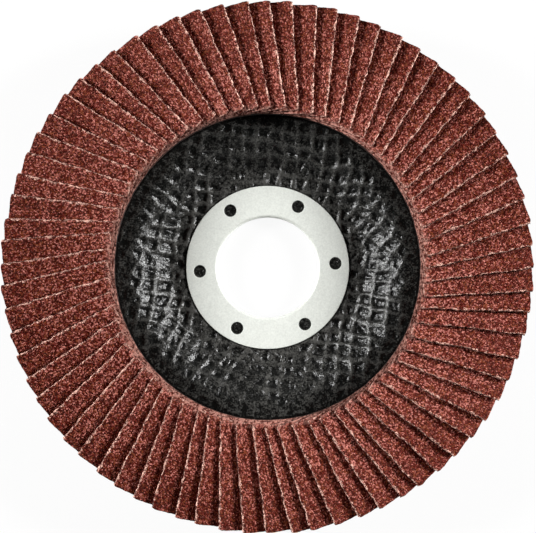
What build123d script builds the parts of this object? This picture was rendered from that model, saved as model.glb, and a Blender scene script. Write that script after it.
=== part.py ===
from build123d import *
import os
from math import asin, ceil, cos, degrees, radians, sin, sqrt

# Flap disc for an angle grinder: a dished glass-fibre backing plate, a pressed steel ring
# that lines its spindle hole, a bed of adhesive, and a fan of leaning abrasive-cloth flaps.
#
# Millimetres.  The origin is on the axis of the spindle hole, at the back face of the hub,
# and +Z points to the abrasive side.  Each flap lies over the flap clockwise of it, so its
# free long edge is its clockwise one, and its other long edge stands in the adhesive.

# ---------------------------------------------------------------------------
# Driving dimensions
# ---------------------------------------------------------------------------

disc_diameter = 115.0        # over the tips of the flaps
bore_diameter = 22.23        # spindle hole, 7/8 inch

# Backing plate
plate_thickness = 3.0
plate_setback = 3.5          # how far the flap tips stand out past the plate's rim
dish_depth = 4.4             # rise from the hub to the deck that carries the flaps
hub_border = 3.3             # flat of the hub outside the ring, before the first bend
bare_deck = 4.0              # flat of the deck inside the flaps
bend_radius = 2.0            # inside of both bends
rim_chamfer = 0.5

# Centre ring: a flange and a collar, pressed from sheet
ring_diameter = 36.0
ring_sheet = 0.6
ring_seat_depth = 0.3        # how far the ring's flange is let into the hub
ring_lip_chamfer = 0.5       # front edge of the spindle hole
collar_setback = 0.2         # the collar's end stops short of the hub's back face

# Keys: the plate's resin stands up in the flange's holes and keeps the ring from turning
key_count = 6
key_hole_diameter = 2.75
key_hole_margin = 1.625      # metal left between each hole and the ring's edge
key_recess = 0.25            # how far a key stops short of the flange's face

# Flaps
flap_count = 72
flap_width = 18.0            # across the flap, from its glued edge to its free edge
flap_thickness = 0.8         # cloth, bond and grit
fan_inner_diameter = 66.4    # clear circle inside the flaps
flaps_per_node = 2

# Adhesive
adhesive_depth = 1.2
adhesive_under_flap = 0.2    # left between the deck and the lowest edge of a flap
adhesive_inset = 0.1         # from the clear circle inside the flaps
adhesive_setback = 1.0       # from the plate's rim

# Fits
flap_clearance = 0.05        # between one flap and the next, where they lie closest
bore_clearance = 0.05        # between the ring's collar and the hub
seat_clearance = 0.10        # round the ring's flange
key_clearance = 0.05         # round each key

# ---------------------------------------------------------------------------
# Derived dimensions
# ---------------------------------------------------------------------------

# The flaps lie closest at their inner ends, and that sets how steeply they lean.
flap_pitch = 360 / flap_count
inner_end = fan_inner_diameter / 2
step_at_inner_end = inner_end * sin(radians(flap_pitch))
flap_lean = degrees(asin((flap_thickness + flap_clearance) / step_at_inner_end))
width_across = flap_width * cos(radians(flap_lean))
width_up = flap_width * sin(radians(flap_lean))
thickness_across = flap_thickness * sin(radians(flap_lean))
thickness_up = flap_thickness * cos(radians(flap_lean))

# The underside corner of the free edge is the tip that runs on the disc's full diameter.
tip_offset = (width_across + thickness_across) / 2
outer_end = sqrt((disc_diameter / 2) ** 2 - tip_offset**2)
flap_length = outer_end - inner_end

# Radii of the plate, from the bore outwards
collar_radius = bore_diameter / 2 + ring_sheet
ring_radius = ring_diameter / 2
key_circle_radius = ring_radius - key_hole_margin - key_hole_diameter / 2
hub_radius = ring_radius + hub_border
deck_radius = inner_end - bare_deck
plate_radius = disc_diameter / 2 - plate_setback

# Heights above the hub's back face
seat_height = plate_thickness - ring_seat_depth
ring_top = seat_height + ring_sheet
deck_height = plate_thickness + dish_depth
flap_mid_height = deck_height + adhesive_under_flap + (width_up + thickness_up) / 2

os.makedirs("parts", exist_ok=True)

# ---------------------------------------------------------------------------
# Backing plate: one dished wall of even thickness
# ---------------------------------------------------------------------------

with BuildPart() as backing_plate:
    with BuildSketch(Plane.XZ):
        with BuildLine():
            FilletPolyline(
                (collar_radius + bore_clearance, plate_thickness),
                (hub_radius, plate_thickness),
                (deck_radius, deck_height),
                (plate_radius, deck_height),
                radius=[bend_radius, bend_radius + plate_thickness],
            )
            offset(amount=plate_thickness, side=Side.RIGHT)
        make_face()
    revolve(axis=Axis.Z)
    rim = backing_plate.faces().filter_by(GeomType.CYLINDER).sort_by(SortBy.RADIUS)[-1]
    chamfer(rim.edges().filter_by(GeomType.CIRCLE), length=rim_chamfer)

    # Seat for the ring's flange, and the keys that stand up from it
    with BuildSketch(Plane.XY.offset(plate_thickness)):
        Circle(ring_radius + seat_clearance)
    extrude(amount=-ring_seat_depth, mode=Mode.SUBTRACT)
    with BuildSketch(Plane.XY.offset(seat_height)):
        with PolarLocations(key_circle_radius, key_count):
            Circle(key_hole_diameter / 2 - key_clearance)
    extrude(amount=ring_sheet - key_recess)

backing_plate.part.label = "backing_plate"
export_step(backing_plate.part, "parts/backing_plate.step")

# ---------------------------------------------------------------------------
# Centre ring: flange and collar in one sheet, with a row of holes in the flange
# ---------------------------------------------------------------------------

with BuildPart() as centre_ring:
    with BuildSketch(Plane.XZ):
        with BuildLine():
            Polyline(
                (ring_radius, ring_top),
                (bore_diameter / 2, ring_top),
                (bore_diameter / 2, collar_setback),
            )
            offset(amount=ring_sheet, side=Side.LEFT)
        make_face()
    revolve(axis=Axis.Z)
    bore_wall = centre_ring.faces().filter_by(GeomType.CYLINDER).sort_by(SortBy.RADIUS)[0]
    chamfer(bore_wall.edges().filter_by(GeomType.CIRCLE).sort_by(Axis.Z)[-1], length=ring_lip_chamfer)

    with BuildSketch(Plane.XY.offset(ring_top)):
        with PolarLocations(key_circle_radius, key_count):
            Circle(key_hole_diameter / 2)
    extrude(amount=-ring_sheet, mode=Mode.SUBTRACT)

centre_ring.part.label = "centre_ring"
export_step(centre_ring.part, "parts/centre_ring.step")

# ---------------------------------------------------------------------------
# Flaps: one leaning strip of stiff cloth, repeated round the axis
# ---------------------------------------------------------------------------

with BuildPart() as flap:
    with BuildSketch(Plane.YZ.offset(inner_end)):
        with Locations((0, flap_mid_height)):
            Rectangle(flap_width, flap_thickness, rotation=-flap_lean)
    extrude(amount=flap_length)

for node_index in range(ceil(flap_count / flaps_per_node)):
    first_flap = node_index * flaps_per_node
    flaps_here = min(flaps_per_node, flap_count - first_flap)
    first_angle = first_flap * flap_pitch
    with BuildPart() as flap_pair:
        with PolarLocations(0, flaps_here, start_angle=first_angle, angular_range=flaps_here * flap_pitch):
            add(flap.part)
    flap_pair.part.label = f"flap_pair_{node_index + 1:02d}"
    export_step(flap_pair.part, f"parts/{flap_pair.part.label}.step")

# ---------------------------------------------------------------------------
# Adhesive: an annular bed on the deck that fills in round the roots of the flaps
# ---------------------------------------------------------------------------

with BuildPart() as adhesive_bed:
    with BuildSketch(Plane.XY.offset(deck_height)):
        Circle(plate_radius - adhesive_setback)
        Circle(inner_end + adhesive_inset, mode=Mode.SUBTRACT)
    extrude(amount=adhesive_depth)
    with PolarLocations(0, flap_count):
        add(flap.part, mode=Mode.SUBTRACT)

adhesive_bed.part.label = "adhesive_bed"
export_step(adhesive_bed.part, "parts/adhesive_bed.step")
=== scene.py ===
from math import atan2, cos, degrees, pi, radians, sin, tan

import bmesh
import bpy
from bpy.props import FloatProperty, FloatVectorProperty, IntProperty, PointerProperty
from bpy.types import Operator, Panel, PropertyGroup
from mathutils import Euler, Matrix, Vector


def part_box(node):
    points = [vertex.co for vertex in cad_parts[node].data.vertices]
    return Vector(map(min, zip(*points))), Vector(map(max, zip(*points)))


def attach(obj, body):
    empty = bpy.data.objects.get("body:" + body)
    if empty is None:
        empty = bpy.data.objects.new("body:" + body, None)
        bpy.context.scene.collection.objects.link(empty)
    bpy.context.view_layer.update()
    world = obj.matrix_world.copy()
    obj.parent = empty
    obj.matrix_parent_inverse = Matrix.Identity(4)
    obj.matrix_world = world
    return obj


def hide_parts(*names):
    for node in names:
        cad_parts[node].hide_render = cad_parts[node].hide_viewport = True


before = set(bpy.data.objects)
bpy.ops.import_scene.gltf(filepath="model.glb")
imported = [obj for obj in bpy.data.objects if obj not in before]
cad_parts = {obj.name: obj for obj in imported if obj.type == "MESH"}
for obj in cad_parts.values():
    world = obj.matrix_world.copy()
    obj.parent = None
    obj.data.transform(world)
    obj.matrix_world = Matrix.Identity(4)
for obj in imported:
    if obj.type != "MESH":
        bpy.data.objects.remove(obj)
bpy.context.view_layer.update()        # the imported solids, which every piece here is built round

bl_info = {
    "name": "Flap Disc",
    "version": (1, 0, 0),
    "blender": (4, 5, 0),
    "location": "View3D > Sidebar > Flap Disc",
    "description": "Dresses a flap disc: woven plate, steel ring, adhesive and a fan of abrasive flaps",
    "category": "Object",
}

MM = 0.001
BODY = "root"
PLATE_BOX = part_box("backing_plate")
RING_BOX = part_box("centre_ring")
BED_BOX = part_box("adhesive_bed")
FLAP_NODES = sorted(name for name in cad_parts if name.startswith("flap_pair_"))

# Linear colours: two odd kinds of grain, the near black of the flaps' covered inner ends, the cloth's
# shade and the grit's gloss
RUST = (0.30, 0.085, 0.030)
ASH = (0.15, 0.070, 0.060)
INNER_END_DARK = (0.012, 0.006, 0.005)
CLOTH_SHADE = (0.06, 0.02, 0.015)
GRIT_GLOSS = (1.0, 0.22, 0.14, 1.0)


# --- Node trees ---

def find_socket(sockets, key):
    """A socket by its place, or by its name or identifier among those in use."""
    if isinstance(key, int):
        return sockets[key]
    return next(s for s in sockets if s.enabled and key in (s.identifier, s.name))


def arithmetic(operation, swapped=False):
    """A Python operator that adds a Math node."""
    def operator(self, other):
        return self.graph.math(operation, *((other, self) if swapped else (self, other)))
    return operator


class Value:
    """An output socket that takes part in Python arithmetic. Each operator adds its Math node."""

    def __init__(self, graph, socket):
        self.graph = graph
        self.socket = socket

    def output(self, key):
        """Another output of the same node."""
        return Value(self.graph, find_socket(self.socket.node.outputs, key))

    __add__ = arithmetic("ADD")
    __radd__ = arithmetic("ADD", swapped=True)
    __sub__ = arithmetic("SUBTRACT")
    __rsub__ = arithmetic("SUBTRACT", swapped=True)
    __mul__ = arithmetic("MULTIPLY")
    __truediv__ = arithmetic("DIVIDE")
    __rtruediv__ = arithmetic("DIVIDE", swapped=True)

    def __abs__(self):
        return self.graph.math("ABSOLUTE", self)


class Graph:
    """A node tree being built."""

    def __init__(self, tree):
        self.tree = tree
        tree.nodes.clear()

    def add(self, kind, sockets=None, output=0, **settings):
        """Adds a node: its settings first, then the values and links of its sockets."""
        node = self.tree.nodes.new(kind)
        for name, value in settings.items():
            setattr(node, name, value)
        for key, value in (sockets or {}).items():
            target = find_socket(node.inputs, key)
            if isinstance(value, Value):
                self.tree.links.new(value.socket, target)
            else:
                target.default_value = value
        return Value(self, find_socket(node.outputs, output)) if node.outputs else None

    def math(self, operation, *operands):
        return self.add("ShaderNodeMath", dict(enumerate(operands)), operation=operation)

    def clamp(self, value):
        return self.add("ShaderNodeClamp", {"Value": value})

    def step(self, value, low, high):
        """0 below low, 1 above high and smooth between. It falls instead where low is above high."""
        sockets = {"Value": value, "From Min": low, "From Max": high}
        return self.add("ShaderNodeMapRange", sockets, interpolation_type="SMOOTHSTEP")

    def vector(self, x, y, z):
        return self.add("ShaderNodeCombineXYZ", {"X": x, "Y": y, "Z": z})

    def parts(self, vector):
        x = self.add("ShaderNodeSeparateXYZ", {"Vector": vector}, "X")
        return x, x.output("Y"), x.output("Z")

    def add_vectors(self, a, b):
        return self.add("ShaderNodeVectorMath", {0: a, 1: b}, operation="ADD")

    def multiply_vectors(self, a, b):
        return self.add("ShaderNodeVectorMath", {0: a, 1: b}, operation="MULTIPLY")

    def scale_vector(self, vector, factor):
        return self.add("ShaderNodeVectorMath", {0: vector, "Scale": factor}, operation="SCALE")

    def turn(self, vector, axis, angle, centre=(0.0, 0.0, 0.0)):
        sockets = {"Vector": vector, "Center": centre, "Angle": angle}
        return self.add("ShaderNodeVectorRotate", sockets, rotation_type=axis)

    def noise(self, vector, size, detail=2.0, output="Fac"):
        """Noise from 0 to 1 whose lumps are about as large as size, in the vector's own unit."""
        sockets = {"Vector": vector, "Scale": 1 / size, "Detail": detail}
        return self.add("ShaderNodeTexNoise", sockets, output)

    def grains(self, vector, size):
        """The distance to the middle of the nearest of many cells, each about as large as size."""
        return self.add("ShaderNodeTexVoronoi", {"Vector": vector, "Scale": 1 / size}, "Distance")

    def mix(self, factor, a, b):
        a, b = (c if isinstance(c, Value) else (*c, 1.0) for c in (a, b))
        sockets = {"Factor_Float": factor, "A_Color": a, "B_Color": b}
        return self.add("ShaderNodeMix", sockets, "Result_Color", data_type="RGBA")

    def ramp(self, value, *colours):
        """One of the colours, which are spread evenly from 0 to 1, or a blend of two."""
        blend = self.add("ShaderNodeValToRGB", {"Fac": value}, "Color")
        stops = blend.socket.node.color_ramp.elements
        while len(stops) < len(colours):
            stops.new(1.0)
        for i, colour in enumerate(colours):
            stops[i].position = i / (len(colours) - 1)
            stops[i].color = (*colour, 1.0)
        return blend

    def bump(self, height, depth, strength=1.0):
        """A normal from a height of 0 to 1 that stands for depth metres."""
        return self.add("ShaderNodeBump", {"Height": height, "Distance": depth, "Strength": strength})

    def attribute(self, name, output="Fac"):
        return self.add("ShaderNodeAttribute", None, output, attribute_name=name)

    def object_mm(self):
        """Object coordinates in millimetres."""
        return self.scale_vector(self.add("ShaderNodeTexCoord", output="Object"), 1 / MM)

    def named(self, kind, name):
        """An attribute of the geometry that a tree works on."""
        return self.add("GeometryNodeInputNamedAttribute", {"Name": name}, data_type=kind)

    def stored(self, geometry, kind, name, value):
        """The geometry with a value kept at each of its points."""
        sockets = {"Geometry": geometry, "Name": name, "Value": value}
        return self.add("GeometryNodeStoreNamedAttribute", sockets, data_type=kind, domain="POINT")

    def copies(self, points, shape):
        """The shape at each point, as real geometry."""
        placed = self.add("GeometryNodeInstanceOnPoints", {"Points": points, "Instance": shape})
        return self.add("GeometryNodeRealizeInstances", {"Geometry": placed})

    def raised(self, geometry, rise):
        """The geometry with each point moved along its normal."""
        offset = self.scale_vector(self.add("GeometryNodeInputNormal"), rise)
        return self.add("GeometryNodeSetPosition", {"Geometry": geometry, "Offset": offset})


def new_material(name):
    material = bpy.data.materials.new(name)
    material.use_nodes = True
    graph = Graph(material.node_tree)
    graph.material = material
    return graph


def close_material(graph, colour, roughness, normal, **others):
    """Ends a material with its Principled shader. Underscores in a socket's name stand for spaces."""
    sockets = {key.replace("_", " "): value for key, value in others.items()}
    sockets.update({"Base Color": colour, "Roughness": roughness, "Normal": normal})
    shader = graph.add("ShaderNodeBsdfPrincipled", sockets)
    graph.add("ShaderNodeOutputMaterial", {"Surface": shader})
    return graph.material


def geometry_graph(name, **inputs):
    """A Geometry Nodes tree with inputs named for each kind: its graph, and the inputs' values."""
    tree = bpy.data.node_groups.new(name, "GeometryNodeTree")
    tree.interface.new_socket("Geometry", in_out="OUTPUT", socket_type="NodeSocketGeometry")
    sockets = [("Geometry", "Geometry")] + [(kind, label) for kind in inputs for label in inputs[kind]]
    for kind, label in sockets:
        tree.interface.new_socket(label, in_out="INPUT", socket_type="NodeSocket" + kind)
    graph = Graph(tree)
    source = graph.add("NodeGroupInput")
    return graph, {label: source.output(label) for _, label in sockets}


def chosen(settings, labels):
    """The properties with these names, as values for a tree's inputs of the same names."""
    return {label: getattr(settings, label.lower().replace(" ", "_")) for label in labels}


def close_geometry(graph, geometry, finishes):
    """Ends a tree: real geometry, with each of the materials on the faces given for it."""
    geometry = graph.add("GeometryNodeRealizeInstances", {"Geometry": geometry})
    for finish, faces in finishes:
        sockets = {"Geometry": geometry, "Selection": faces, "Material": finish}
        geometry = graph.add("GeometryNodeSetMaterial", sockets)
    graph.add("NodeGroupOutput", {"Geometry": geometry})
    return graph.tree


def run_tree(piece, tree, values):
    """Runs a tree on a piece, and keeps what it makes as the piece's own plain mesh."""
    modifier = piece.modifiers.new(tree.name, "NODES")
    modifier.node_group = tree
    for item in tree.interface.items_tree:
        if item.in_out == "INPUT" and item.name in values:
            modifier[item.identifier] = values[item.name]
    mesh = bpy.data.meshes.new_from_object(piece.evaluated_get(bpy.context.evaluated_depsgraph_get()))
    piece.modifiers.remove(modifier)
    piece.data = mesh
    mesh.name = piece.name


# --- Meshes ---

def new_object(name, data):
    made = bpy.data.objects.new(name, data)
    bpy.context.scene.collection.objects.link(made)
    return made


def close_shell(shell, mesh):
    """Points a closed shell's faces outwards and puts it in the mesh."""
    bmesh.ops.recalc_face_normals(shell, faces=shell.faces)
    shell.to_mesh(mesh)
    shell.free()
    mesh.shade_smooth()
    return mesh


def closed_mesh(name, vertices, faces):
    mesh = bpy.data.meshes.new(name)
    mesh.from_pydata(vertices, [], faces)
    shell = bmesh.new()
    shell.from_mesh(mesh)
    return close_shell(shell, mesh)


def strips(rings, count, closed=False):
    """Faces from each ring of count points to the next, and where closed from the last to the first."""
    faces = []
    for ring in range(rings if closed else rings - 1):
        a, b = ring * count, (ring + 1) % rings * count
        for j in range(count):
            k = (j + 1) % count
            faces.append((a + j, a + k, b + k, b + j))
    return faces


def turns(count):
    """Even angles round the axis."""
    return [2 * pi * i / count for i in range(count)]


def lathe(name, profile, segments):
    """Turns a closed profile of (radius, height) points about the axis."""
    vertices = [(r * cos(turn), r * sin(turn), z) for turn in turns(segments) for r, z in profile]
    return closed_mesh(name, vertices, strips(segments, len(profile), closed=True))


def steps(start, end, size):
    """Even steps from start up to end, without end itself."""
    count = max(1, round(abs(end - start) / size))
    return [start + (end - start) * i / count for i in range(count)]


def on_arc(centre, radius, turn):
    """The point of an arc at an angle in degrees."""
    return centre[0] + radius * cos(radians(turn)), centre[1] + radius * sin(radians(turn))


def path(start, *runs):
    """Points of a profile, without its last one.

    A straight run is given as (end, step), an arc as (centre, radius, first angle, last angle, step).
    """
    points = []
    for *run, step in runs:
        if len(run) == 1:
            end = run[0]
            length = (Vector(end) - Vector(start)).length
            points += [tuple(Vector(start).lerp(Vector(end), t)) for t in steps(0.0, 1.0, step / length)]
        else:
            centre, radius, first, last = run
            length = abs(radians(last - first)) * radius
            size = abs(last - first) * min(1.0, step / length)
            points += [on_arc(centre, radius, turn) for turn in steps(first, last, size)]
            end = on_arc(centre, radius, last)
        start = end
    return points


def dress(piece, slot, *nodes):
    """A finished piece rides on the disc and stands for its solids, which it hides. The slot is not
    used.
    """
    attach(piece, BODY)
    if nodes:
        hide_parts(*nodes)


def size(name, description, default):
    """A length, given in millimetres."""
    return FloatProperty(
        name=name, description=description, default=default * MM, precision=5, unit="LENGTH"
    )


def angle(name, description, default):
    """An angle, given in degrees."""
    return FloatProperty(
        name=name, description=description, default=radians(default), unit="ROTATION", subtype="ANGLE"
    )


def scalar(name, description, default, unit="NONE"):
    return FloatProperty(name=name, description=description, default=default, unit=unit)


def paint(name, description, red, green, blue):
    """A colour property from the 0 to 255 values that a paint chart gives."""
    chart = [c / 255 for c in (red, green, blue)]
    linear = [c / 12.92 if c < 0.04 else ((c + 0.055) / 1.055) ** 2.4 for c in chart]
    return FloatVectorProperty(
        name=name, description=description, default=linear, size=3, min=0.0, max=1.0, subtype="COLOR"
    )


# --- Sizes and colours that a user would change ---

class FlapSettings(PropertyGroup):
    pitch: angle("Pitch", "Angle from one flap to the next", 5.0)
    lean: angle("Lean", "How steeply a flap leans on the one below it", 17.08)
    width: size("Width", "From a flap's glued edge to its free edge", 18.0)
    length: size("Length", "From a flap's inner end to its outer end", 23.63)
    thickness: size("Thickness", "Cloth, bond and grit without the grains' peaks", 0.76)
    coating: size("Coating", "Bond and grit alone", 0.20)
    inner_radius: size("Inner radius", "From the axis to the flaps' inner ends", 33.2)
    middle_height: size("Middle height", "Height of a flap's middle above the disc's back", 10.58)
    grain: size("Grain", "Size of a grain of grit", 0.28)
    relief: size("Relief", "Height of the grains", 0.15)
    sway: size("Sway", "How far the cloth waves out of its plane", 0.10)
    fray: size("Fray", "How far the cut edges stray", 0.60)
    spread: size("Spread", "Largest error of a flap's place across it", 0.66)
    twist: angle("Twist", "Largest error of a flap's direction", 1.3)
    slip: size("Slip", "Largest error of a flap's place along the radius", 0.10)
    seed: IntProperty(name="Seed", description="Another seed lays the flaps another way", default=7)
    grit_dark: paint("Dark grit", "Colour between the grains", 34, 2, 0)
    grit_middle: paint("Grit", "Main colour of the grains", 90, 22, 16)
    grit_light: paint("Light grit", "Colour of the brightest grains", 210, 136, 124)
    cut_edge: paint("Cut edge", "Colour of the cloth where it is cut", 250, 200, 182)
    cut_shade: paint("Cut edge shade", "Darker threads in the cut cloth", 58, 20, 14)
    film: paint("Adhesive film", "Colour of the adhesive's film at the inner ends", 190, 140, 127)
    cloth_back: paint("Cloth back", "Colour of the cloth's bare side", 150, 92, 78)


class PlateSettings(PropertyGroup):
    thickness: size("Thickness", "Wall of the plate", 3.0)
    hub_radius: size("Hub radius", "Where the hub bends into the slope", 21.3)
    deck_radius: size("Deck radius", "Where the slope bends into the deck", 29.2)
    bend_radius: size("Bend radius", "Inside of both bends", 2.0)
    seat_radius: size("Seat radius", "Recess for the ring's flange", 18.1)
    seat_depth: size("Seat depth", "How far the ring's flange is let into the hub", 0.3)
    bore_radius: size("Bore radius", "Hole for the ring's collar", 11.765)
    cover_radius: size("Cover radius", "Where the adhesive begins to cover the deck", 33.1)
    segments: IntProperty(name="Segments", description="Sections round the axis", default=600)
    weave_pitch: size("Weave pitch", "From one glass thread to the next", 3.0)
    thread_width: size("Thread width", "Width of a glass thread's print in the resin", 1.1)
    weave_depth: size("Weave depth", "Depth of the threads' print", 0.60)
    top_turn: angle("Top turn", "Direction of the threads nearest the surface", 11.0)
    under_turn: angle("Under turn", "Direction of the threads below them", 38.0)
    ripple: size("Ripple", "Height of the resin's small lumps", 0.26)
    resin: paint("Resin", "Colour of the cured resin", 14, 14, 13)
    glass: paint("Glass", "Colour where a glass thread lies close below", 84, 83, 80)


class RingSettings(PropertyGroup):
    bore_radius: size("Bore radius", "Straight wall of the spindle hole", 11.115)
    sheet: size("Sheet", "Thickness of the steel", 0.6)
    edge_round: size("Edge round", "Radius of the flange's outer edge", 0.12)
    hole_circle: size("Hole circle", "Radius of the circle of holes", 15.0)
    hole_radius: size("Hole radius", "Radius of each hole", 1.375)
    hole_count: IntProperty(name="Holes", description="Holes in the flange", default=6)
    key_height: size("Key height", "Top of the resin in the ring's holes", 3.05)
    key_lumps: size("Key lumps", "Height of the lumps in that resin", 0.45)
    key_lump_size: size("Key lump size", "From one of those lumps to the next", 0.8)
    zinc: paint("Zinc", "Colour of the plated steel", 233, 236, 229)
    zinc_shade: paint("Zinc shade", "Darker cloud in the plating", 213, 216, 209)


class BedSettings(PropertyGroup):
    lumps: size("Lumps", "Height of the lumps in the adhesive", 0.30)
    lump_size: size("Lump size", "From one lump to the next", 1.2)
    glue: paint("Adhesive", "Colour of the cured adhesive", 62, 36, 28)
    glue_shade: paint("Adhesive shade", "Darker colour of the adhesive", 22, 11, 9)


class StageSettings(PropertyGroup):
    camera_height: size("Camera height", "From the floor to the camera", 400.0)
    camera_right: size("Camera right", "Camera's place to the right of the axis", 1.7)
    camera_back: size("Camera back", "Camera's place on the near side of the axis", 8.9)
    pitch: angle("Pitch", "Tip of the camera away from the viewer", 1.312)
    yaw: angle("Yaw", "Tip of the camera to the side", 0.233)
    roll: angle("Roll", "Turn of the camera about its own axis", 3.35)
    lens: scalar("Lens", "Focal length in millimetres", 120.8, "CAMERA")
    lamp_distance: size("Lamp distance", "From the disc to each lamp", 800.0)
    lamp_size: size("Lamp size", "Side of each square lamp", 200.0)
    lamp_height: angle("Lamp height", "Height of the lamps above the horizon", 25.0)
    lamp_side: angle("Lamp side", "How far round each lamp stands from the disc's side", 12.0)
    left_power: scalar("Left lamp", "Power of the left lamp", 9.3, "POWER")
    right_power: scalar("Right lamp", "Power of the right lamp", 10.2, "POWER")
    fill: scalar("Fill", "Strength of the even light from all round", 0.02)
    floor_lift: scalar("Floor lift", "Share of plain white in the floor", 0.92)


# --- Finishes ---

def flap_graph(name):
    """A flap's material: places along and across it in mm, the place its noise is read at, its tone."""
    graph = new_material(name)
    laid = graph.attribute("laid", "Vector")
    tone = graph.attribute("tone")
    along, across, _ = graph.parts(laid)
    shift = graph.vector(tone * 311.0, tone * 173.0, 0.0)
    return graph, along, across, graph.add_vectors(laid, shift), tone


def grit_material(flaps):
    """Grains with a dark ground between them, and painted shade that darkens them towards the flap's
    outer end.
    """
    graph, along, across, at, tone = flap_graph("grit_finish")
    middle = graph.grains(at, flaps.grain / MM)
    pick = graph.add("ShaderNodeSeparateColor", {"Color": middle.output("Color")}, "Red")
    kind, dust = pick.output("Green"), pick.output("Blue")
    speck = graph.noise(at, 0.16, 1.0)
    # Painted shade: the grit is made darker towards the flap's outer end.
    outward_shade = along * (MM / flaps.length) - 0.5
    level = pick * 1.25 + speck * 1.1 + graph.noise(at, 5.0) * 0.30 + tone * 0.05
    level = level - outward_shade * 0.20 - 0.91 - middle * 0.30
    colour = graph.ramp(level, flaps.grit_dark, flaps.grit_middle, flaps.grit_light)
    for drawn, share, tint in ((kind, 0.40, RUST), (dust, 0.25, ASH)):
        colour = graph.mix(graph.step(drawn, 0.80, 0.88), colour, graph.mix(share, colour, tint))

    # Along the free edge the coating is chipped off in spots, which bares the pale cloth.
    edge = flaps.width / 2 / MM
    from_cut = graph.math("MINIMUM", along, across + edge)
    chip = graph.noise(at, 0.8, 3.0) * 2.0 - 0.96 - from_cut
    bared = graph.mix(graph.step(speck, 0.42, 0.58), flaps.cut_shade, flaps.cut_edge)
    colour = graph.mix(graph.step(chip, -0.10, 0.10), colour, bared)

    # At the inner end a film of adhesive is smeared over the grains.
    smeared = graph.step(along + graph.noise(at, 1.0) * 3.0, 2.9, 1.4)
    inner_covered = graph.step(along, 1.5, 0.9) * graph.step(across + edge, 2.2, 2.9)
    film = graph.mix(graph.step(graph.noise(at, 0.55), 0.40, 0.58), flaps.cut_shade, flaps.film)
    colour = graph.mix(graph.math("MAXIMUM", smeared * 0.30, inner_covered * 0.8), colour, film)
    roughness = 0.42 + dust * 0.16
    normal = graph.bump(speck * 0.5 + (1 - middle) * 0.8, 0.14 * MM)
    gloss = {"Specular_IOR_Level": 0.40, "Specular_Tint": GRIT_GLOSS}
    return close_material(graph, colour, roughness, normal, **gloss)


def cut_material(flaps):
    """Pale cut threads with dark ones between them, near black low at the inner end where a flap is
    covered.
    """
    graph, along, across, at, tone = flap_graph("cut_edge_finish")
    thread = graph.noise(graph.multiply_vectors(at, (1.0, 0.5, 1.0)), 0.34)
    pale = graph.step(thread + graph.noise(at, 0.9) + tone * 0.04, 0.96, 1.14)
    colour = graph.mix(pale, flaps.cut_shade, flaps.cut_edge)
    # Low at the inner end, where the next flap covers this one, the cut is made nearly black.
    inner_covered = graph.step(along, 0.5, 0.1) * graph.step(across + flaps.width / 2 / MM, 1.0, 3.2) * 0.95
    colour = graph.mix(inner_covered, colour, INNER_END_DARK)
    return close_material(graph, colour, 0.88, graph.bump(thread, 0.15 * MM), Specular_IOR_Level=0.2)


def cloth_material(flaps):
    """The bare side of the cloth, a twill of fine threads stiffened with size."""
    graph, along, across, at, tone = flap_graph("cloth_back_finish")
    pitch = 0.42
    warp = graph.math("SINE", along * (2 * pi / pitch))
    weft = graph.math("SINE", (along + across * 2) * (pi / pitch))
    twill = warp * weft * 0.5 + 0.5
    fluff = graph.noise(at, 0.9, 3.0)
    shade = graph.mix(0.45, flaps.cloth_back, CLOTH_SHADE)
    colour = graph.mix(graph.clamp(twill * 0.6 + fluff * 0.5 + tone * 0.06), shade, flaps.cloth_back)
    normal = graph.bump(twill * 0.6 + fluff * 0.4, 0.10 * MM)
    return close_material(graph, colour, 0.82, normal, Specular_IOR_Level=0.25)


def resin_material(plate):
    """Glossy black resin, a little lighter where a glass thread lies close under it, and lighter over
    the hub as a painted sheen.
    """
    graph = new_material("resin_finish")
    at = graph.object_mm()
    thread = graph.attribute("thread")
    fleck = graph.noise(at, 0.34)
    fibre = graph.noise(at, 0.75, 3.0)
    x, y, _ = graph.parts(at)
    radius = graph.math("SQRT", x * x + y * y) * MM
    blend = plate.bend_radius / 2
    # Over the hub more of the glass colour shows: a painted sheen.
    hub = graph.step(radius, plate.hub_radius + blend, plate.hub_radius - blend)
    woven = thread * 0.48 + fleck * 1.3 + fibre + hub * 0.16
    colour = graph.mix(graph.step(woven, 1.22, 1.98), plate.resin, plate.glass)
    roughness = 0.12 + graph.noise(at, 1.4) * 0.12 + thread * 0.06
    normal = graph.bump(graph.noise(at, 0.26) * 0.7 + fleck * 0.3, 0.13 * MM)
    return close_material(graph, colour, roughness, normal, Specular_IOR_Level=0.40)


def zinc_material(ring):
    """Dull zinc plating with a fine grain."""
    graph = new_material("zinc_finish")
    at = graph.object_mm()
    cloud = graph.noise(at, 2.2, 3.0)
    fine = graph.noise(at, 0.35)
    colour = graph.mix(graph.clamp(cloud * 0.6 + fine * 1.8 - 0.70), ring.zinc_shade, ring.zinc)
    normal = graph.bump(fine, 0.012 * MM, 0.6)
    return close_material(graph, colour, 0.46 + fine * 0.16, normal, Metallic=0.12)


def adhesive_material(bed):
    """Cured adhesive, cloudy and half matt."""
    graph = new_material("adhesive_finish")
    at = graph.object_mm()
    cloud = graph.noise(at, 1.1, 3.0)
    colour = graph.mix(graph.step(cloud, 0.36, 0.62), bed.glue_shade, bed.glue)
    normal = graph.bump(graph.noise(at, 0.4), 0.06 * MM)
    return close_material(graph, colour, 0.42 + cloud * 0.25, normal)


# --- Backing plate ---

WEAVE_SIZES = ("Weave pitch", "Thread width", "Weave depth", "Ripple", "Top turn", "Under turn")


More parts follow.
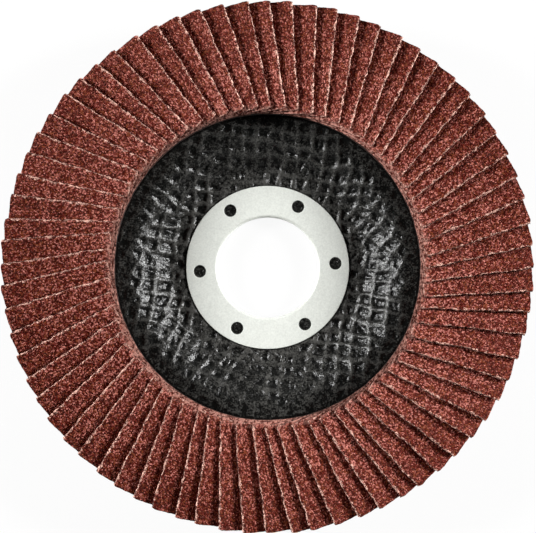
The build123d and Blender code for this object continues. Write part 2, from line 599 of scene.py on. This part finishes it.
def plate_profile(plate):
    """The plate's section as (radius, height, how deep the weave prints), fine where it shows."""
    fine, coarse, plain = 0.27 * MM, 0.85 * MM, 1.6 * MM
    wall, inside = plate.thickness, plate.bend_radius
    outside = inside + wall
    rim, deck = PLATE_BOX[1].x, PLATE_BOX[1].z
    under = deck - wall
    slope = degrees(atan2(under, plate.deck_radius - plate.hub_radius))
    reach = tan(radians(slope) / 2)
    hub_bend = (plate.hub_radius - inside * reach, wall + inside)
    deck_bend = (plate.deck_radius + outside * reach, deck - outside)
    rim_round = 0.5 * MM
    rim_start = rim - rim_round
    covered = plate.cover_radius

    front = path(
        (plate.seat_radius, wall),
        ((hub_bend[0], wall), fine),
        (hub_bend, inside, 270, 270 + slope, fine),
        (on_arc(deck_bend, outside, 90 + slope), fine),
        (deck_bend, outside, 90 + slope, 90, fine),
        ((covered, deck), fine),
        ((rim_start, deck), plain),
    )
    edge = path(
        (rim_start, deck),
        ((rim_start, deck - rim_round), rim_round, 90, 0, 0.2 * MM),
        ((rim, under + rim_round), 0.4 * MM),
        ((rim_start, under + rim_round), rim_round, 0, -90, 0.2 * MM),
    )
    back = path(
        (rim_start, under),
        ((deck_bend[0], under), coarse),
        (deck_bend, inside, 90, 90 + slope, 0.5 * MM),
        (on_arc(hub_bend, outside, 270 + slope), coarse),
        (hub_bend, outside, 270 + slope, 270, coarse),
        ((plate.bore_radius, 0.0), coarse),
    )
    bore, seat = plate.bore_radius, wall - plate.seat_depth
    core = path((bore, 0.0), ((bore, seat), 0.9 * MM), ((plate.seat_radius, seat), 1.3 * MM))
    core.append((plate.seat_radius, seat))

    def share(distance, run=0.6 * MM):
        """The share of a run that a distance covers, from 0 to 1."""
        return min(1.0, max(0.0, distance / run))

    section = []
    for r, z in front:
        calm = 1.0 - 0.5 * share(r - plate.deck_radius, MM)
        section.append((r, z, share(r - plate.seat_radius) * share(covered - r) * calm))
    section += [(r, z, 0.0) for r, z in edge]
    for r, z in back:
        # The print is shallower here and lies inside the wall, so that the hub stands flat.
        amount = 0.55 * share(rim_start - r) * share(r - plate.bore_radius - 0.4 * MM)
        section.append((r, z + plate.weave_depth * amount / 2, amount))
    section += [(r, z, 0.0) for r, z in core]
    return section


def weave_tree():
    """Prints two layers of open glass cloth in a surface, with the resin's own lumps."""
    graph, given = geometry_graph("woven print", Float=WEAVE_SIZES, Int=("Seed",), Material=("Resin",))
    at = graph.scale_vector(graph.add("GeometryNodeInputPosition"), 1 / MM)
    seeded = graph.add_vectors(at, graph.vector(given["Seed"] * 13.7, given["Seed"] * 5.1, 0.0))
    amount = graph.named("FLOAT", "imprint")
    pitch, half = given["Weave pitch"] / MM, given["Thread width"] / MM / 2

    def thread(across, along):
        """One direction's threads: 1 along each thread's middle, swelling between the crossings."""
        phase = across / pitch
        off = abs(phase - graph.math("ROUND", phase)) * pitch
        crown = 1 - graph.step(off / half, 0.4, 1.7)
        return crown * (0.88 + graph.math("COSINE", along / pitch * (2 * pi)) * 0.12)

    def cloth(turned, wander):
        """Both directions' threads, which wander sideways by about a third of these millimetres."""
        x, y, _ = graph.parts(graph.turn(at, "Z_AXIS", turned))
        dx, dy, _ = graph.parts(graph.noise(seeded, 7.0, 1.0, "Color"))
        x, y = x + (dx - 0.5) * wander, y + (dy - 0.5) * wander
        return graph.math("MAXIMUM", thread(x, y), thread(y, x))

    shows = graph.step(graph.noise(seeded, 11.0, 1.0), 0.42, 0.58)
    top = cloth(given["Top turn"], 3.2) * (1 - shows * 0.45)
    under = cloth(given["Under turn"], 3.4) * (0.35 + shows * 0.45)
    woven = graph.math("MAXIMUM", top, under)
    lumps = graph.noise(seeded, 0.7) - 0.5
    pools = graph.noise(seeded, 1.7, 1.0) - 0.5
    rise = ((woven - 0.55) * given["Weave depth"] + (lumps + pools * 0.9) * given["Ripple"]) * amount
    kept = graph.stored(given["Geometry"], "FLOAT", "thread", woven * graph.step(amount, 0.0, 0.45))
    return close_geometry(graph, graph.raised(kept, rise), [(given["Resin"], True)])


class FLAPDISC_OT_backing_plate(Operator):
    """Turn the dished plate and print the glass cloth in it"""

    bl_idname = "flap_disc.backing_plate"
    bl_label = "Backing plate"

    def execute(self, context):
        plate = context.scene.flap_disc_plate
        section = plate_profile(plate)
        mesh = lathe("backing_plate_dressed", [(r, z) for r, z, _ in section], plate.segments)
        imprint = mesh.attributes.new("imprint", "FLOAT", "POINT")
        imprint.data.foreach_set("value", [amount for _, _, amount in section] * plate.segments)
        piece = new_object("backing_plate_dressed", mesh)
        values = {**chosen(plate, WEAVE_SIZES), "Seed": 3, "Resin": resin_material(plate)}
        run_tree(piece, weave_tree(), values)
        dress(piece, "glass_fibre_resin", "backing_plate")
        return {"FINISHED"}


# --- Centre ring and the keys in its holes ---

def ring_mesh(ring):
    """Flange, lip and collar in one shell. The flange is made of sectors, with one hole in each."""
    per_arc, per_side = 20, 12
    sector = 2 * pi / ring.hole_count
    top, back = RING_BOX[1].z, RING_BOX[0].z
    under = top - ring.sheet
    collar = ring.bore_radius + ring.sheet
    full, edge = RING_BOX[1].x, ring.edge_round
    inner, outer = collar + 0.08 * MM, full - 1.6 * edge
    hole_round = 0.08 * MM
    tail = 0.12 * MM
    shell = bmesh.new()

    # Outline of one sector, counter-clockwise from the inner arc's start, as (radius, angle)
    outline = [(inner, (i / per_arc - 0.5) * sector) for i in range(per_arc)]
    outline += [(r, 0.5 * sector) for r in steps(inner, outer, (outer - inner) / per_side)]
    outline += [(outer, (0.5 - i / per_arc) * sector) for i in range(per_arc)]
    outline += [(r, -0.5 * sector) for r in steps(outer, inner, (outer - inner) / per_side)]

    def hole_loop(hole, share, radius, height):
        """Points round a hole, this share of the way from the sector's outline to a circle."""
        turn = hole * sector
        loop = []
        for r, a in outline:
            start = Vector((r * cos(a) - ring.hole_circle, r * sin(a)))
            x, y = start.lerp(start.normalized() * radius, share)
            x += ring.hole_circle
            spot = (x * cos(turn) - y * sin(turn), x * sin(turn) + y * cos(turn), height)
            loop.append(shell.verts.new(spot))
        return loop

    def bridge(loops):
        """Faces from each loop to the next."""
        for a, b in zip(loops, loops[1:]):
            for i in range(len(a)):
                k = (i + 1) % len(a)
                shell.faces.new((a[i], a[k], b[k], b[i]))

    def sheet_side(height):
        """One face of the flange, and the loops of points where its holes begin."""
        rims = []
        for hole in range(ring.hole_count):
            lip = ring.hole_radius + hole_round
            loops = [hole_loop(hole, share, lip, height) for share in (0.0, 0.45, 0.8, 0.95, 1.0)]
            bridge(loops)
            rims.append(loops[-1])
        return rims

    def turned(profile):
        """A strip turned about the axis, with its points where the sectors' arcs have theirs."""
        places = [(i / per_arc - 0.5) * sector for i in range(per_arc * ring.hole_count)]
        bridge([[shell.verts.new((r * cos(a), r * sin(a), z)) for a in places] for r, z in profile])

    upper, lower = sheet_side(top), sheet_side(under)
    for hole in range(ring.hole_count):
        wall = []
        for face, inward, angles in ((top, -1, (60, 30, 0)), (under, 1, (0, 30, 60))):
            for a in map(radians, angles):
                radius = ring.hole_radius + hole_round * (1 - cos(a))
                wall.append(hole_loop(hole, 1.0, radius, face + inward * hole_round * (1 - sin(a))))
        bridge([upper[hole], *wall, lower[hole]])

    lip = ring.sheet
    foot, seam = back + tail, under - 0.05 * MM
    bore = path(
        (ring.bore_radius + lip, top),
        ((ring.bore_radius + lip, top - lip), lip, 90, 180, 0.12 * MM),
        ((ring.bore_radius, foot), 0.5 * MM),
        ((ring.bore_radius + tail, foot), tail, 180, 270, 0.06 * MM),
        ((collar - tail, foot), tail, 270, 360, 0.06 * MM),
        ((collar, seam), 0.6 * MM),
    )
    turned([(inner, top), *bore, (collar, seam), (inner, under)])
    flat = full - edge
    rim = path(
        (flat, top),
        ((flat, top - edge), edge, 90, 0, 0.05 * MM),
        ((flat, under + edge), edge, 0, -90, 0.05 * MM),
    )
    turned([(outer, top), *rim, (flat, under), (outer, under)])
    bmesh.ops.remove_doubles(shell, verts=shell.verts, dist=0.001 * MM)
    return close_shell(shell, bpy.data.meshes.new("centre_ring_dressed"))


class FLAPDISC_OT_centre_ring(Operator):
    """Press the flanged steel ring with its row of holes"""

    bl_idname = "flap_disc.centre_ring"
    bl_label = "Centre ring"

    def execute(self, context):
        ring = context.scene.flap_disc_ring
        piece = new_object("centre_ring_dressed", ring_mesh(ring))
        piece.data.materials.append(zinc_material(ring))
        dress(piece, "zinc_steel", "centre_ring")
        return {"FINISHED"}


def lumps_tree():
    """Repeats a shape round the axis, or leaves one as it is, and roughens it with soft lumps."""
    graph, given = geometry_graph(
        "soft lumps", Int=("Count",), Float=("Circle", "Lumps", "Lump size"), Material=("Finish",)
    )
    turned = graph.add("GeometryNodeInputIndex") / given["Count"] * (2 * pi)
    x, y = (graph.math(wave, turned) * given["Circle"] for wave in ("COSINE", "SINE"))
    spots = {"Count": given["Count"], "Position": graph.vector(x, y, 0.0)}
    real = graph.copies(graph.add("GeometryNodePoints", spots), given["Geometry"])
    at = graph.scale_vector(graph.add("GeometryNodeInputPosition"), 1 / MM)
    swell = graph.noise(at, given["Lump size"] / MM, 1.0)
    moved = graph.raised(real, (swell - 0.5) * given["Lumps"])
    return close_geometry(graph, moved, [(given["Finish"], True)])


def key_mesh(ring):
    """One key: a stub of resin with a soft shoulder and a shallow dimple, closed at both ends."""
    gap, sunk, around = 0.05 * MM, 0.15 * MM, 48
    root, top = RING_BOX[1].z - ring.sheet - sunk, ring.key_height
    rows = [(0.35, root), (1.0, root)]
    shoulder = ((1.0, 0.22), (0.96, 0.09), (0.86, 0.01), (0.72, 0.0))
    dimple = ((0.55, 0.03), (0.38, 0.07), (0.2, 0.09))
    rows += [(share, top - drop * MM) for share, drop in (*shoulder, *dimple)]
    vertices = [(0.0, 0.0, root)]
    for share, z in rows:
        radius = (ring.hole_radius - gap) * share
        vertices += [(radius * cos(turn), radius * sin(turn), z) for turn in turns(around)]
    last = len(vertices)
    vertices.append((0.0, 0.0, top - 0.1 * MM))
    faces = [tuple(1 + v for v in face) for face in strips(len(rows), around)]
    for i in range(around):
        k = (i + 1) % around
        faces += [(0, 1 + i, 1 + k), (last, last - around + i, last - around + k)]
    return closed_mesh("hub_keys", vertices, faces)


class FLAPDISC_OT_hub_keys(Operator):
    """Raise the resin keys that stand in the ring's holes"""

    bl_idname = "flap_disc.hub_keys"
    bl_label = "Hub keys"

    def execute(self, context):
        ring = context.scene.flap_disc_ring
        piece = new_object("hub_keys", key_mesh(ring))
        values = {
            "Count": ring.hole_count,
            "Circle": ring.hole_circle,
            "Lumps": ring.key_lumps,
            "Lump size": ring.key_lump_size,
            "Finish": resin_material(context.scene.flap_disc_plate),
        }
        run_tree(piece, lumps_tree(), values)
        dress(piece, "glass_fibre_resin")
        return {"FINISHED"}


# --- Adhesive bed ---

class FLAPDISC_OT_adhesive_bed(Operator):
    """Lay the bed of adhesive that the flaps stand in"""

    bl_idname = "flap_disc.adhesive_bed"
    bl_label = "Adhesive bed"

    def execute(self, context):
        bed = context.scene.flap_disc_bed
        low, high = BED_BOX[0].z + bed.lumps / 5, BED_BOX[1].z - bed.lumps / 4
        inner = context.scene.flap_disc_flaps.inner_radius + 0.1 * MM
        outer = BED_BOX[1].x
        soft, fine_run, segments = 0.35 * MM, 2 * MM, 540
        section = path(
            (inner, low),
            ((inner, high - soft), 0.3 * MM),
            ((inner + soft, high - soft), soft, 180, 90, 0.14 * MM),
            ((inner + fine_run, high), 0.5 * MM),
            ((outer - fine_run, high), 3.0 * MM),
            ((outer - soft, high), 0.5 * MM),
            ((outer - soft, high - soft), soft, 90, 0, 0.14 * MM),
            ((outer, low), 0.3 * MM),
            ((inner, low), 4.0 * MM),
        )
        piece = new_object("adhesive_bed_dressed", lathe("adhesive_bed_dressed", section, segments))
        values = {"Count": 1, "Circle": 0.0, "Finish": adhesive_material(bed)}
        run_tree(piece, lumps_tree(), {**values, **chosen(bed, ("Lumps", "Lump size"))})
        dress(piece, "cured_adhesive", "adhesive_bed")
        return {"FINISHED"}


# --- Flaps ---

GRIT, CUT, BACK = 0, 1, 2
FLAP_SIZES = (
    "Pitch", "Lean", "Width", "Length", "Inner radius", "Middle height", "Grain",
    "Relief", "Sway", "Fray", "Spread", "Twist", "Slip",
)


def flap_blank(flaps):
    """One flat flap along X from its inner end, its free edge at -Y, finely divided where it shows."""
    half_width, half_thick = flaps.width / 2, flaps.thickness / 2
    bond = half_thick - flaps.coating
    first, second, fine, coarse = 0.12 * MM, 0.3 * MM, 0.26 * MM, 1.9 * MM
    shown = -half_width + 6.5 * MM
    columns = [-half_width, -half_width + first, *steps(-half_width + second, shown, fine)]
    columns += [*steps(shown, half_width, coarse), half_width]
    rows = [0.0, first, *steps(second, flaps.length - second, fine)]
    rows += [flaps.length - second, flaps.length - first, flaps.length]
    last = len(columns) - 1
    wide = [0] + [i for i in range(1, last) if i % 8 == 0 or i > last - 6 and i % 2 == 0] + [last]

    def section(x):
        """A cross-section: over the top, down the glued edge, back below and up the free edge."""
        loop = [(x, y, half_thick) for y in columns]
        loop += [(x, half_width, bond)]
        loop += [(x, columns[i], -half_thick) for i in reversed(wide)]
        loop += [(x, -half_width, (bond - half_thick) / 2), (x, -half_width, bond)]
        return loop

    vertices = [point for x in rows for point in section(x)]
    around = len(section(0.0))
    below = last + 2
    faces = strips(len(rows), around)
    zones = [*[GRIT] * (last + 1), CUT, *[BACK] * (len(wide) - 1), CUT, CUT, GRIT] * (len(rows) - 1)

    # An end's coating is a strip of small faces, and its cloth has one face for each wide column.
    for base in (0, (len(rows) - 1) * around):
        x = vertices[base][0]
        seam = [base + around - 1]
        for y in columns[1:-1]:
            vertices.append((x, y, bond))
            seam.append(len(vertices) - 1)
        seam.append(base + last + 1)
        for j in range(last):
            faces.append((base + j, base + j + 1, seam[j + 1], seam[j]))
            zones.append(GRIT)
        floor = [base + below + i for i in reversed(range(len(wide)))]
        for j in range(len(wide) - 1):
            upper = seam[wide[j]:wide[j + 1] + 1]
            side = [base + around - 2] if j == 0 else []
            faces.append((*side, *upper, floor[j + 1], floor[j]))
            zones.append(CUT)
    mesh = closed_mesh("flap_blank", vertices, faces)
    mesh.attributes.new("zone", "INT", "FACE").data.foreach_set("value", zones)
    top = [1.0 if v[2] == half_thick else 0.0 for v in vertices]
    mesh.attributes.new("coated", "FLOAT", "POINT").data.foreach_set("value", top)
    return mesh


def flap_tree():
    """Lays a blank round the disc as the flaps of one node, each with its own grit, fray and lay."""
    graph, given = geometry_graph(
        "laid flaps",
        Int=("First flap", "Flaps", "Seed"),
        Float=FLAP_SIZES,
        Material=("Grit", "Cut edge", "Cloth back"),
    )
    points = graph.add("GeometryNodePoints", {"Count": given["Flaps"]})
    index = graph.add("GeometryNodeInputIndex")
    points = graph.stored(points, "FLOAT", "number", index + given["First flap"])
    flat = graph.copies(points, given["Geometry"])
    number = graph.named("FLOAT", "number")

    def draw(which):
        sockets = {"Min": -0.5, "Max": 0.5, "ID": number, "Seed": given["Seed"] * 10 + which}
        return graph.add("FunctionNodeRandomValue", sockets, "Value", data_type="FLOAT")

    def chance(which):
        """A number from -1 to 1 for each flap, most often near 0."""
        return draw(which) + draw(which + 100)

    place = graph.add("GeometryNodeInputPosition")
    local = graph.scale_vector(place, 1 / MM)
    along, across, _ = graph.parts(local)
    at = graph.add_vectors(local, graph.vector(number * 31.7, number * 17.3, given["Seed"]))

    # Grains stand up from the coating, and the cloth under them waves a little.
    dome = 0.62 - graph.grains(at, given["Grain"] / MM)
    pits = graph.noise(at, 0.8, 1.0) - 0.5
    raised = (dome + pits * 0.6) * given["Relief"] * graph.named("FLOAT", "coated")
    wave = (graph.noise(graph.multiply_vectors(at, (1.0, 1.0, 0.0)), 4.5, 1.0) - 0.5) * given["Sway"]

    # The cuts wander, and the threads in them fray.
    def stray(size, x=0.0, y=0.0):
        return graph.noise(graph.add_vectors(at, (x, y, 0.0)), size) - 0.5

    fray, reach = given["Fray"], 0.8
    free = graph.clamp(1 - (across + given["Width"] / MM / 2) / reach)
    inner = graph.clamp(1 - along / reach)
    outer = graph.clamp(1 - (given["Length"] / MM - along) / reach)
    bent = graph.noise(graph.vector(along, number * 31.7, 0.0), 6.0, 0.0) - 0.5
    ragged = (stray(1.3) + stray(0.45, 5.0) * 0.8) * fray + bent * fray * 0.8
    shift = chance(1) * given["Spread"]
    ends = (stray(1.8, y=9.0) + stray(0.4, y=5.0) * 0.7) * fray * 0.5
    corner = graph.math("POWER", free, 2.0) * 0.20 * MM
    moves = graph.vector((ends - corner) * (outer - inner), ragged * free + shift, raised + wave)
    shape = graph.add_vectors(place, moves)

    # Down onto the fan: lean, twist, out to the radius and round to the flap's own place.
    middle = graph.vector(given["Length"] / 2, 0.0, 0.0)
    tilted = graph.turn(shape, "X_AXIS", 0.0 - given["Lean"] + chance(4) * 0.002)
    tilted = graph.turn(tilted, "Z_AXIS", chance(2) * given["Twist"], middle)
    radius = given["Inner radius"] + chance(3) * given["Slip"]
    out = graph.add_vectors(tilted, graph.vector(radius, 0.0, given["Middle height"]))
    final = graph.turn(out, "Z_AXIS", number * given["Pitch"])

    kept = graph.stored(flat, "FLOAT_VECTOR", "laid", local)
    kept = graph.stored(kept, "FLOAT", "tone", chance(5))
    moved = graph.add("GeometryNodeSetPosition", {"Geometry": kept, "Position": final})
    for name in ("number", "coated"):
        moved = graph.add("GeometryNodeRemoveAttribute", {"Geometry": moved, "Name": name})
    zone = graph.named("INT", "zone")
    equal = {"data_type": "INT", "operation": "EQUAL"}
    finishes = []
    for value, finish in ((GRIT, "Grit"), (CUT, "Cut edge"), (BACK, "Cloth back")):
        faces = graph.add("FunctionNodeCompare", {"A": zone, "B": value}, **equal)
        finishes.append((given[finish], faces))
    return close_geometry(graph, moved, finishes)


class FLAPDISC_OT_flaps(Operator):
    """Lay the fan of abrasive flaps, one piece for each of the disc's flap nodes"""

    bl_idname = "flap_disc.flaps"
    bl_label = "Flaps"

    def execute(self, context):
        flaps = context.scene.flap_disc_flaps
        count = round(2 * pi / flaps.pitch / len(FLAP_NODES))
        blank = flap_blank(flaps)
        tree = flap_tree()
        values = {
            **chosen(flaps, (*FLAP_SIZES, "Seed")),
            "Flaps": count,
            "Grit": grit_material(flaps),
            "Cut edge": cut_material(flaps),
            "Cloth back": cloth_material(flaps),
        }
        for i, node in enumerate(FLAP_NODES):
            piece = new_object(node + "_dressed", blank)
            run_tree(piece, tree, {**values, "First flap": i * count})
            dress(piece, "abrasive_cloth", node)
        bpy.data.meshes.remove(blank)
        return {"FINISHED"}


# --- Stage ---

class FLAPDISC_OT_stage(Operator):
    """Set the floor, the lamps and the camera"""

    bl_idname = "flap_disc.stage"
    bl_label = "Stage"

    def execute(self, context):
        stage = context.scene.flap_disc_stage
        self.make_floor(stage)
        self.make_world(context, stage)
        self.make_lamp("lamp_right", stage, stage.lamp_side - stage.roll, stage.right_power)
        self.make_lamp("lamp_left", stage, pi - stage.lamp_side - stage.roll, stage.left_power)
        camera = new_object("camera", bpy.data.cameras.new("camera"))
        camera.data.lens = stage.lens
        camera.data.clip_start = 0.01
        place = Vector((stage.camera_right, -stage.camera_back, stage.camera_height))
        place.rotate(Euler((0.0, 0.0, -stage.roll)))
        camera.location = place
        camera.rotation_euler = (stage.pitch, stage.yaw, -stage.roll)
        context.scene.camera = camera
        context.scene.view_settings.view_transform = "Standard"
        return {"FINISHED"}

    def make_floor(self, stage):
        """A round white floor that sweeps up into a low wall, out of the camera's sight."""
        around, radius, sweep, wall = 96, 1.3, 0.25, 0.45
        curve = path((radius, 0.0), ((radius, sweep), sweep, -80, 0, 0.06))
        section = [(radius, 0.0), *curve, (radius + sweep, sweep), (radius + sweep, wall)]
        points = [(r * cos(turn), r * sin(turn), z) for r, z in section for turn in turns(around)]
        faces = [tuple(range(around)), *(face[::-1] for face in strips(len(section), around))]
        mesh = bpy.data.meshes.new("floor")
        mesh.from_pydata(points, [], faces)
        mesh.shade_smooth()
        graph = new_material("floor_white")
        paper = graph.add("ShaderNodeBsdfDiffuse", {"Color": (0.9, 0.9, 0.9, 1.0)})
        white = graph.add("ShaderNodeEmission")
        # White to the rays that see it directly, mirrored or through glass, but never as a light
        seen = graph.add("ShaderNodeLightPath", output="Is Camera Ray")
        seen = seen + seen.output("Is Glossy Ray") + seen.output("Is Transmission Ray")
        share = graph.clamp(seen) * stage.floor_lift
        shader = graph.add("ShaderNodeMixShader", {0: share, 1: paper, 2: white})
        graph.add("ShaderNodeOutputMaterial", {"Surface": shader})
        mesh.materials.append(graph.material)
        new_object("floor", mesh)

    def make_world(self, context, stage):
        world = bpy.data.worlds.new("soft_room")
        world.use_nodes = True
        graph = Graph(world.node_tree)
        room = graph.add("ShaderNodeBackground", {"Color": (1.0, 1.0, 1.0, 1.0), "Strength": stage.fill})
        graph.add("ShaderNodeOutputWorld", {"Surface": room})
        context.scene.world = world

    def make_lamp(self, name, stage, turn, power):
        lamp = new_object(name, bpy.data.lights.new(name, "AREA"))
        lamp.data.energy = power
        lamp.data.size = stage.lamp_size
        flat = cos(stage.lamp_height)
        aim = Vector((flat * cos(turn), flat * sin(turn), sin(stage.lamp_height)))
        lamp.location = aim * stage.lamp_distance
        lamp.rotation_euler = aim.to_track_quat("Z", "Y").to_euler()


class FLAPDISC_PT_sidebar(Panel):
    """The pieces of the disc, with what can be changed on each"""

    bl_label = "Flap Disc"
    bl_idname = "FLAPDISC_PT_sidebar"
    bl_space_type = "VIEW_3D"
    bl_region_type = "UI"
    bl_category = "Flap Disc"

    def draw(self, context):
        for name, settings, *operators in PARTS:
            box = self.layout.box()
            for operator in operators:
                box.operator(operator.bl_idname)
            for label in settings.__annotations__:
                box.prop(getattr(context.scene, name), label)


PARTS = (
    ("flap_disc_stage", StageSettings, FLAPDISC_OT_stage),
    ("flap_disc_plate", PlateSettings, FLAPDISC_OT_backing_plate),
    ("flap_disc_ring", RingSettings, FLAPDISC_OT_centre_ring, FLAPDISC_OT_hub_keys),
    ("flap_disc_bed", BedSettings, FLAPDISC_OT_adhesive_bed),
    ("flap_disc_flaps", FlapSettings, FLAPDISC_OT_flaps),
)
CLASSES = (*(cls for _, *classes in PARTS for cls in classes), FLAPDISC_PT_sidebar)


def register():
    for cls in CLASSES:
        bpy.utils.register_class(cls)
    for name, settings, *_ in PARTS:
        setattr(bpy.types.Scene, name, PointerProperty(type=settings))


def unregister():
    for name, *_ in PARTS:
        delattr(bpy.types.Scene, name)
    for cls in reversed(CLASSES):
        bpy.utils.unregister_class(cls)


def main():
    register()
    bpy.ops.flap_disc.stage()
    bpy.ops.flap_disc.backing_plate()
    bpy.ops.flap_disc.centre_ring()
    bpy.ops.flap_disc.hub_keys()
    bpy.ops.flap_disc.adhesive_bed()
    bpy.ops.flap_disc.flaps()


if __name__ == "__main__":
    main()
